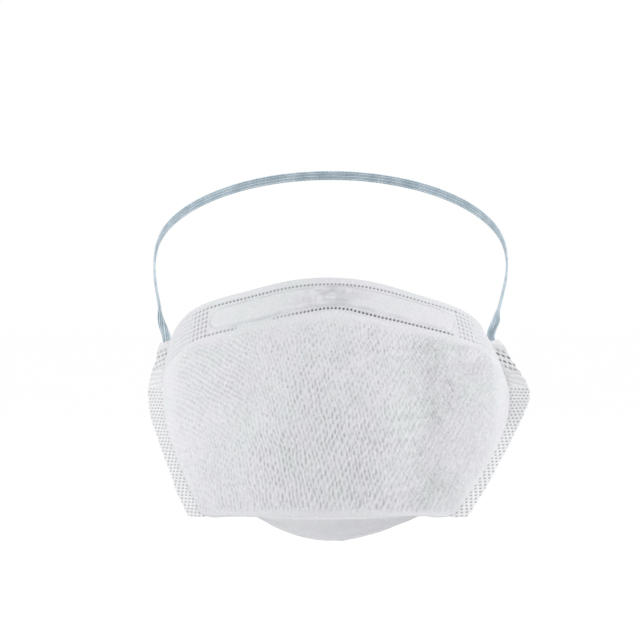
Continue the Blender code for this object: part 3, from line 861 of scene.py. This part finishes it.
def lower_cover_relief(s, d, ease):
    place = dot_place(s)
    line = dot_radius(place, d, CHIN_LINE, DOT_PITCH, 0.5, 0.5)
    dots = fade(0.5, 1.05, line)
    top = dot_radius(place, d, 2.6, DOT_PITCH, 0.5, 0.34)
    dots = np.maximum(dots, 0.8 * fade(0.5, 1.05, top))
    cloth, hollow = crepe(s + 40, d + 60)
    share = 0.2 + 0.8 * smoothstep(8, 15, d)
    # Painted shade: the lower panel is darkened over its middle, fading towards the sides and the
    # bill.
    painted_shade = 0.23 * fade(62, 100, d) * fade(45, 70, np.abs(s))
    press_and_shade = np.maximum(0.6 * dots, painted_shade + 0.4 * hollow * share)
    return (0.5 * cloth * share - 0.3 * dots) * ease, press_and_shade * ease


def lining_relief(s, d, ease):
    """Small diamond bonding points, pressed into the side that faces the wearer."""
    across = (s + d * 0.9) / 2.3
    down = (s - d * 0.9) / 2.3
    point = np.maximum(np.abs(nearest(across, 1)), np.abs(nearest(down, 1)))
    bonds = fade(0.16, 0.3, point)
    return (0.10 * bonds - 0.03 * noise(s / 3, d / 3, 41)) * ease, 0.25 * bonds * ease


HEM_ROWS = np.arange(61, -1, -1) * ROW_STEP
columns = columns_for("upper", DOT_PITCH / 5, LOW_LINE)
panel = Panel("upper", columns, HEM_ROWS, panel_steps=168)
upper_cover = folded_sheet("upper_cover_and_nose_hem", panel, upper_cover_relief, 8, 20)

CHIN_ROWS = np.arange(18, -1, -1) * 0.5
columns = columns_for("lower", DOT_PITCH / 3, CHIN_LINE)
panel = Panel("lower", columns, CHIN_ROWS, panel_steps=150)
lower_cover = folded_sheet("lower_cover_and_chin_hem", panel, lower_cover_relief, 6, 14)

skins = {"upper": [upper_cover], "lower": [lower_cover]}
for half in OUTWARD:
    foot = np.array([HEM_HEIGHTS[half] + FOOT_GAP])
    panel = Panel(half, np.linspace(-1, 1, 231), foot, panel_steps=120)
    lining = plain_sheet(f"{half}_lining", panel, "lining", lining_relief, LINING, coarse=3)
    panel = Panel(half, np.linspace(-1, 1, 121), foot, panel_steps=64)
    web = plain_sheet(f"{half}_filter_web", panel, "filter", None, FILTER, coarse=1)
    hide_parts(f"{half}_inner_lining")
    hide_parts(f"{half}_filter")
    skins[half] += [lining, web]

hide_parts("upper_outer_cover", "nose_hem_left", "nose_hem_center", "nose_hem_right")
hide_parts("lower_outer_cover", "chin_hem_left", "chin_hem_center", "chin_hem_right")

# ---- the folded edge at the bill

FOLD_REACH = 3.0
FOLD_STEPS = 12
FOLD_THICKNESS = 0.4
FOLD_MAP_SHIFT = 130


def make_bill_fold():
    """The crease where the cover passes from the upper to the lower panel."""
    columns = np.linspace(-1, 1, 261)
    sides = {}
    for half in OUTWARD:
        reach = np.linspace(FOLD_REACH, 0, FOLD_STEPS + 1)[:, None] + 0 * columns[None, :]
        panel = Panel(half, columns, np.array([HEM_HEIGHTS[half]]), panel_steps=2)
        ease = 1 - reach / FOLD_REACH
        # It comes out of the cover, and stands 0.1 mm over it along the crease.
        heights = LAYERS["cover"][1] - 0.16 + 0.26 * smoothstep(0, 0.6, ease)
        d = panel.length[None, :] - reach
        outer, s, _ = panel.points(d, heights)
        inner, _, _ = panel.points(d, heights - FOLD_THICKNESS)
        sides[half] = outer, inner, s
    upper, lower = sides.values()
    outer, inner = (np.concatenate([upper[i], lower[i][-2::-1]]) for i in (0, 1))
    smoothings = 3
    for _ in range(smoothings):
        outer[1:-1] = (outer[:-2] + 2 * outer[1:-1] + outer[2:]) / 4
    s = upper[2][:1] + 0 * outer[..., 0]
    down = np.linspace(-FOLD_REACH, FOLD_REACH, len(outer))[:, None] + 0 * s
    wear = 0.06 * noise(s / 2.2, down / 1.2, 61)
    wear = wear * MM * np.sin(np.linspace(0, pi, len(outer)))[:, None]
    outer = outer + unit(outer - inner) * wear[..., None]
    uv = np.stack([s, down + FOLD_MAP_SHIFT], -1)
    obj = sheet_piece("bill_fold", outer, inner, uv, 0 * s, COVER, coarse=1)
    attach(obj, "mask_body")


make_bill_fold()

# ---- side weld strips

STRIP_START = 1.7
STRIP_STEPS_ALONG = 420
STRIP_STEPS_OUT = 40
DASH_PITCH = 1.7
DASH_ROW = 1.34
SMALL_PITCH = 1.6
# Heights in mm of the rows of strong dots, of the topmost row of dashes, and how dark each is.
DOT_ROWS = {"left": (20.3, 22.5, 24.7, 26.6), "right": (19.8, 22.3, 25.2, 27.2)}
DASH_TOP = {"left": 9.5, "right": 9.8}
DASH_PRESS = {"left": 0.50, "right": 0.55}
DOT_PRESS = {"left": (0.30, 0.5, 0.6, 0.35), "right": (0.40, 1.0, 1.0, 0.30)}


def strip_relief(side, out, width, z):
    """Relief in millimetres, and the share of pressed film and painted shade, over a side strip's
    upper or lower face.
    """
    size = out - STRIP_START
    edge = smoothstep(0.0, 0.6, width - out) * smoothstep(2.0, 2.8, out)
    top = DASH_TOP[side]
    # Staggered rows of dashes below the widest place.
    row = np.round(z / DASH_ROW)
    along = nearest(size - 0.9 - DASH_PITCH / 2 * np.mod(row, 2), DASH_PITCH)
    down = z - row * DASH_ROW + 0.22 * along
    dash = ellipse(along, down, 0.66, 0.42)
    on = fade(top - 0.3, top + 0.3, z) * edge
    dashes = fade(0.45, 1.05, dash) * on
    relief = -0.5 * dashes + 0.26 * on * window(dash, 1.25, 1.8, 0.3)
    press_and_shade = DASH_PRESS[side] * dashes
    # Strong dots by the headband welds, in rows that fall outwards.
    for index, height in enumerate(DOT_ROWS[side]):
        fall = z - (height - 0.42 * size)
        step = nearest(size - 0.8 - 0.9 * index, 1.75)
        dot = ellipse(step, fall + 0.2 * step, 0.72, 0.60)
        strong = fade(0.5, 1.05, dot) * edge
        relief = relief - 0.55 * strong + 0.20 * edge * window(dot, 1.25, 1.8, 0.3)
        press_and_shade = np.maximum(press_and_shade, DOT_PRESS[side][index] * strong)
    # Smooth ridges between the two.
    on = window(z, top + 0.6, min(DOT_ROWS[side]) - 1.6, 0.6) * edge
    ridge = np.sin(2 * pi * (z + 0.25 * size) / 1.9 + noise(size / 3, z / 3, 53))
    relief += 0.50 * on * ridge
    # Painted shade darkens the hollows between the ridges.
    press_and_shade = np.maximum(press_and_shade, 0.16 * on * smoothstep(0.3, 1.0, -ridge))
    # Pale small dashes up to the end of the strip.
    on = window(z, max(DOT_ROWS[side]) + 1.6, 60, 0.5) * edge
    row = np.round(z / SMALL_PITCH)
    along = nearest(size - np.mod(row, 2) * SMALL_PITCH / 2, SMALL_PITCH)
    dash = ellipse(along, z - row * SMALL_PITCH, 0.5, 0.36)
    small = fade(0.45, 1.05, dash) * on
    return relief - 0.25 * small, np.maximum(press_and_shade, 0.35 * small)


def make_strip(side):
    share = np.linspace(0, 1, STRIP_STEPS_OUT + 1)[None, :]
    t = np.linspace(WELD_START, 1, STRIP_STEPS_ALONG + 1)[:, None] + 0 * share
    width = weld_width(side, t)
    # The free edge is a little ragged, and on the right it steps in and out where it is widest.
    edge_noise = 0.10 * noise(t * SEAM_LENGTH / 1.5, 0 * t, 51)
    if side == "right":
        steps = window(t, 0.56, 0.93, 0.02)
        edge_noise = edge_noise - 0.35 * steps * (0.5 + 0.5 * np.sin(2 * pi * t * SEAM_LENGTH / 5.5))
    reach = width + edge_noise
    out = STRIP_START + (reach - STRIP_START) * share
    z = weld_points(side, t, out, 0 * out)[..., 2] / MM
    thin = 0.28 + 0.22 * smoothstep(2.2, 3.4, out)
    thin = thin * (0.45 + 0.55 * np.sqrt(smoothstep(0.0, 0.45, reach - out)))
    relief, press_and_shade = strip_relief(side, out, reach, z)
    wave = 0.25 * np.sin(2 * pi * t * 5.2 + 1.3) * smoothstep(3, 8, out)
    wave += 0.12 * noise(t * 30, out / 6, 52)
    top = weld_points(side, t, out, thin + relief * 0.5 + wave)
    low = weld_points(side, t, out, -thin - relief * 0.5 + wave)
    uv = np.stack([out, t * SEAM_LENGTH], -1)
    obj = two_sided(f"{side}_weld_strip", top, low, uv, press_and_shade, WELD)
    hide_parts(f"{side}_side_weld")
    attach(obj, "mask_body")


for side in SIGN:
    make_strip(side)

# ---- headbands and their welds


def under_strip(band, side, past, drop):
    """A point under a side strip, this far in millimetres past the middle of a headband's weld."""
    along = PAD_PLACES[band] + past / SEAM_LENGTH
    out = PAD_FROM_SEAM + PAD_WIDTH / 2
    under = WELD_THICKNESS / 2 + PAD_GAP + drop
    return weld_points(side, np.array(along), np.array(out), np.array(-under))


def band_exit(band, side):
    """Where a headband leaves its welds, its direction there, and the strip's upper face."""
    past = PAD_LENGTH / 2 + BAND_CLEARANCE
    drop = BAND_THICKNESS / 2 + BAND_DROPS[band]
    ends = {end: under_strip(band, end, past, drop) for end in SIGN}
    here = ends[side]
    here[1:] = (ends["left"][1:] + ends["right"][1:]) / 2
    side_x, side_y, side_z = BAND_SIDES[band]
    leaving = np.array((SIGN[side] * side_x, side_y, side_z)) * MM - here
    return here, unit(leaving), weld_frame(side, np.array(PAD_PLACES[band]))[3]


def band_route(band):
    side_x, side_y, side_z = (value * MM for value in BAND_SIDES[band])
    back_y, back_z = (value * MM for value in BAND_BACKS[band])
    arc = []
    arc_steps = 12
    for step in range(1, arc_steps):
        angle = pi * step / arc_steps
        reach = sin(angle)
        y = side_y + (back_y - side_y) * reach
        arc.append((-side_x * cos(angle), y, side_z + (back_z - side_z) * reach))
    ends = []
    for side in ("left", "right"):
        here, leaving, _ = band_exit(band, side)
        ends.append((here, here + leaving * 5 * MM))
    route = [ends[0][0], ends[0][1], (-side_x, side_y, side_z), *arc]
    route += [(side_x, side_y, side_z), ends[1][1], ends[1][0]]
    return spline([tuple(point) for point in route])


BAND_STEP = 0.45
BAND_AROUND = 24
RIBS = 6
STITCH = 1.8
CURL = 1.35
HEAD_AXIS = np.array((0.0, -0.5, 0.87))
PAD_POINT_PITCH = 1.5


def make_band(band):
    """A knitted elastic. It leaves its weld flat, turns half over, and lies flat round the head."""
    curve = band_route(band)
    length = travelled(curve(np.linspace(0, 1, 2001)))[-1] / MM
    where = np.linspace(0, 1, int(length / BAND_STEP) + 1)
    line = curve(where)
    tangent = unit(curve(np.minimum(where + 0.004, 1)) - curve(np.maximum(where - 0.004, 0)))
    # The ends reach back to the welds.
    stub_steps = 5
    starts = []
    for side, end in (("left", 0), ("right", -1)):
        target = under_strip(band, side, PAD_LENGTH / 2 - 0.6, PAD_THICKNESS / 2)
        shares = np.linspace(1, 0, stub_steps + 1)[:-1, None]
        starts.append(line[end] + (target - line[end]) * shares)
    line = np.concatenate([starts[0], line, starts[1][::-1]])
    tangent = unit(np.gradient(line, axis=0))
    where = np.concatenate([np.zeros(stub_steps), where, np.ones(stub_steps)])
    head_out = np.cross(tangent, HEAD_AXIS)
    faces = {side: band_exit(band, side)[2] for side in SIGN}
    strip_face = np.where((where < 0.5)[:, None], -faces["left"], faces["right"])
    nearness = np.minimum(where, 1 - where)
    share = smoothstep(0, TWIST_SHARE, nearness)[:, None]
    thin = share * head_out + (1 - share) * strip_face
    thin = unit(thin - tangent * (thin * tangent).sum(-1, keepdims=True))
    wide = np.cross(tangent, thin)
    # Half a turn near each end shows first one face and then the other.
    turn = pi * smoothstep(0.012, 0.085, nearness)
    turn = np.where(where < 0.5, turn, -turn)[:, None]
    turned = np.cos(turn) * thin + np.sin(turn) * wide
    wide = np.cos(turn) * wide - np.sin(turn) * thin
    run = travelled(line) / MM
    x = np.sin(np.linspace(-pi / 2, pi / 2, BAND_AROUND)) * BAND_WIDTH / 2
    crown = np.cos(2 * pi * x * RIBS / BAND_WIDTH)
    rounding = np.sqrt(np.clip(1 - (np.abs(x) / (BAND_WIDTH / 2)) ** 6, 0, 1))
    half_thick = (BAND_THICKNESS / 2 - 0.08) * rounding + 0.03
    # The elastic curls lengthwise beside its welds.
    curl = CURL * smoothstep(0.0, 0.008, nearness) * fade(0.03, 0.11, nearness) + 0.02
    profile_x = np.concatenate([x, x[::-1]])
    side_of = np.repeat([1.0, -1.0], BAND_AROUND)
    profile_z = side_of * np.concatenate([half_thick, half_thick[::-1]])
    ribs = np.concatenate([crown, crown[::-1]])
    stitch = np.sin(2 * pi * run / STITCH)[:, None]
    scallop = 1 + 0.022 * stitch * (np.abs(profile_x) > BAND_WIDTH * 0.4)
    knit = 0.055 * ribs[None, :] * (1 + 0.5 * stitch)
    bend = curl[:, None] * (profile_x * scallop) / (BAND_WIDTH / 2)
    radius = BAND_WIDTH / 2 / curl[:, None]
    height = profile_z[None, :] + side_of[None, :] * knit
    rings = (
        line[:, None, :]
        + wide[:, None, :] * ((radius - height) * np.sin(bend))[..., None] * MM
        + turned[:, None, :] * (radius - (radius - height) * np.cos(bend))[..., None] * MM
    )
    groove = smoothstep(0.1, 0.9, -ribs)[None, :] + 0 * run[:, None]
    uv = np.stack(np.broadcast_arrays(run[:, None], profile_x), -1)
    obj = ring_piece(f"{band}_elastic", rings, ELASTIC, uv, groove)
    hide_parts(f"{band}_headband")
    return obj


def make_pad(band, side):
    """A headband's end, pressed flat under the side strip with rows of weld points."""
    half_share = PAD_LENGTH / 2 / SEAM_LENGTH
    along = np.linspace(-1, 1, 37)[:, None]
    share = np.linspace(0, 1, 27)[None, :]
    t = PAD_PLACES[band] + half_share * along + 0 * share
    out = PAD_FROM_SEAM + PAD_WIDTH * share + 0 * along
    run = along * PAD_LENGTH / 2 + 0 * share
    off = PAD_WIDTH * (share - 0.5) + 0 * along
    down = np.abs(nearest(off, PAD_POINT_PITCH)) * 1.2
    dot = np.maximum(np.abs(nearest(run, PAD_POINT_PITCH)), down)
    edge = smoothstep(0, 0.6, PAD_LENGTH / 2 - np.abs(run))
    edge = edge * smoothstep(0, 0.6, PAD_WIDTH / 2 - np.abs(off))
    pressed = fade(0.3, 0.6, dot) * edge
    ribs = 0.04 * np.cos(2 * pi * off * RIBS / BAND_WIDTH)
    near = -WELD_THICKNESS / 2 + 0.2
    far = -WELD_THICKNESS / 2 - PAD_GAP - PAD_THICKNESS
    low = weld_points(side, t, out, far + 0.35 * (1 - edge) + 0.22 * pressed - ribs)
    top = weld_points(side, t, out, near + 0 * t)
    uv = np.stack([run, off], -1)
    obj = two_sided(f"{side}_{band}_band_end", top, low, uv, 0.55 * pressed, ELASTIC)
    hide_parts(f"{side}_{band}_band_weld")
    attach(obj, "mask_body")


bands = {}
for band in BAND_SIDES:
    bands[band] = make_band(band)
    for side in SIGN:
        make_pad(band, side)

# ---- the wire, and the placements baked into the pieces

wire_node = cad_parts["nose_wire"]
wire_node.data.materials.clear()
wire_node.data.materials.append(WIRE)

# The pieces of each panel, and each headband, have their placements baked into their points.
for half, child, reach in (("upper", "nose_rim", 29), ("lower", "chin_rim", 42)):
    for piece in skins[half]:
        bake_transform(piece)

for band, obj in bands.items():
    here, leaving, _ = band_exit(band, "left")
    leaving[0] = 0
    leaving = unit(leaving)
    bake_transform(obj)

# ---- stage, light and camera


def stage_material(name, colour):
    n = Nodes(name)
    place = n.add("ShaderNodeTexCoord").outputs["Object"]
    faint = n.noise(place, 3.0, 2.0, 0.5)
    darker = [0.985 * value for value in colour]
    n.shade("Base Color", n.mix(faint, rgb(*colour), rgb(*darker)))
    n.shade("Roughness", 0.9)
    n.shade("Specular IOR Level", 0.1)
    n.shade("Emission Color", rgb(1.0, 1.0, 1.0))
    n.shade("Emission Strength", 0.05)
    return n.material


FLOOR_Z = -0.16
FLOOR_HALF_SIZE = 60.0
floor_mesh = bpy.data.meshes.new("floor")
corners = [(-1, -1), (1, -1), (1, 1), (-1, 1)]
corners = [(x * FLOOR_HALF_SIZE, y * FLOOR_HALF_SIZE, FLOOR_Z) for x, y in corners]
floor_mesh.from_pydata(corners, [], [(0, 1, 2, 3)])
floor_mesh.materials.append(stage_material("pale_floor", (0.95, 0.95, 0.95)))
floor = place_object("floor", floor_mesh)

world = bpy.data.worlds.new("studio")
bpy.context.scene.world = world
world.use_nodes = True
background = world.node_tree.nodes["Background"]
background.inputs["Color"].default_value = rgb(1.0, 1.0, 1.0)
background.inputs["Strength"].default_value = 1.0


def softbox(name, location, target, width, height, power):
    light = bpy.data.lights.new(name, "AREA")
    light.shape = "RECTANGLE"
    light.size = width
    light.size_y = height
    light.energy = power
    obj = place_object(name, light)
    obj.location = location
    direction = Vector(target) - Vector(location)
    obj.rotation_euler = direction.to_track_quat("-Z", "Y").to_euler()


softbox("key", (-1.45, -0.35, 0.75), (0, 0, 0), 0.3, 0.3, 10.2)
softbox("fill", (1.45, -0.25, 0.65), (0, 0, 0), 0.3, 0.3, 11.0)
softbox("back", (0.2, 1.6, 1.0), (0, 0.05, 0.02), 1.0, 0.6, 1.5)

camera_data = bpy.data.cameras.new("camera")
camera_data.sensor_width = 36
camera_data.lens = 208.3
camera_data.clip_start = 0.05
camera_data.clip_end = 200
camera = place_object("camera", camera_data)
camera.location = (-0.0049, -1.565, 0.039)
camera.rotation_euler = (radians(90), 0, 0)
bpy.context.scene.camera = camera
bpy.context.scene.view_settings.view_transform = "Standard"
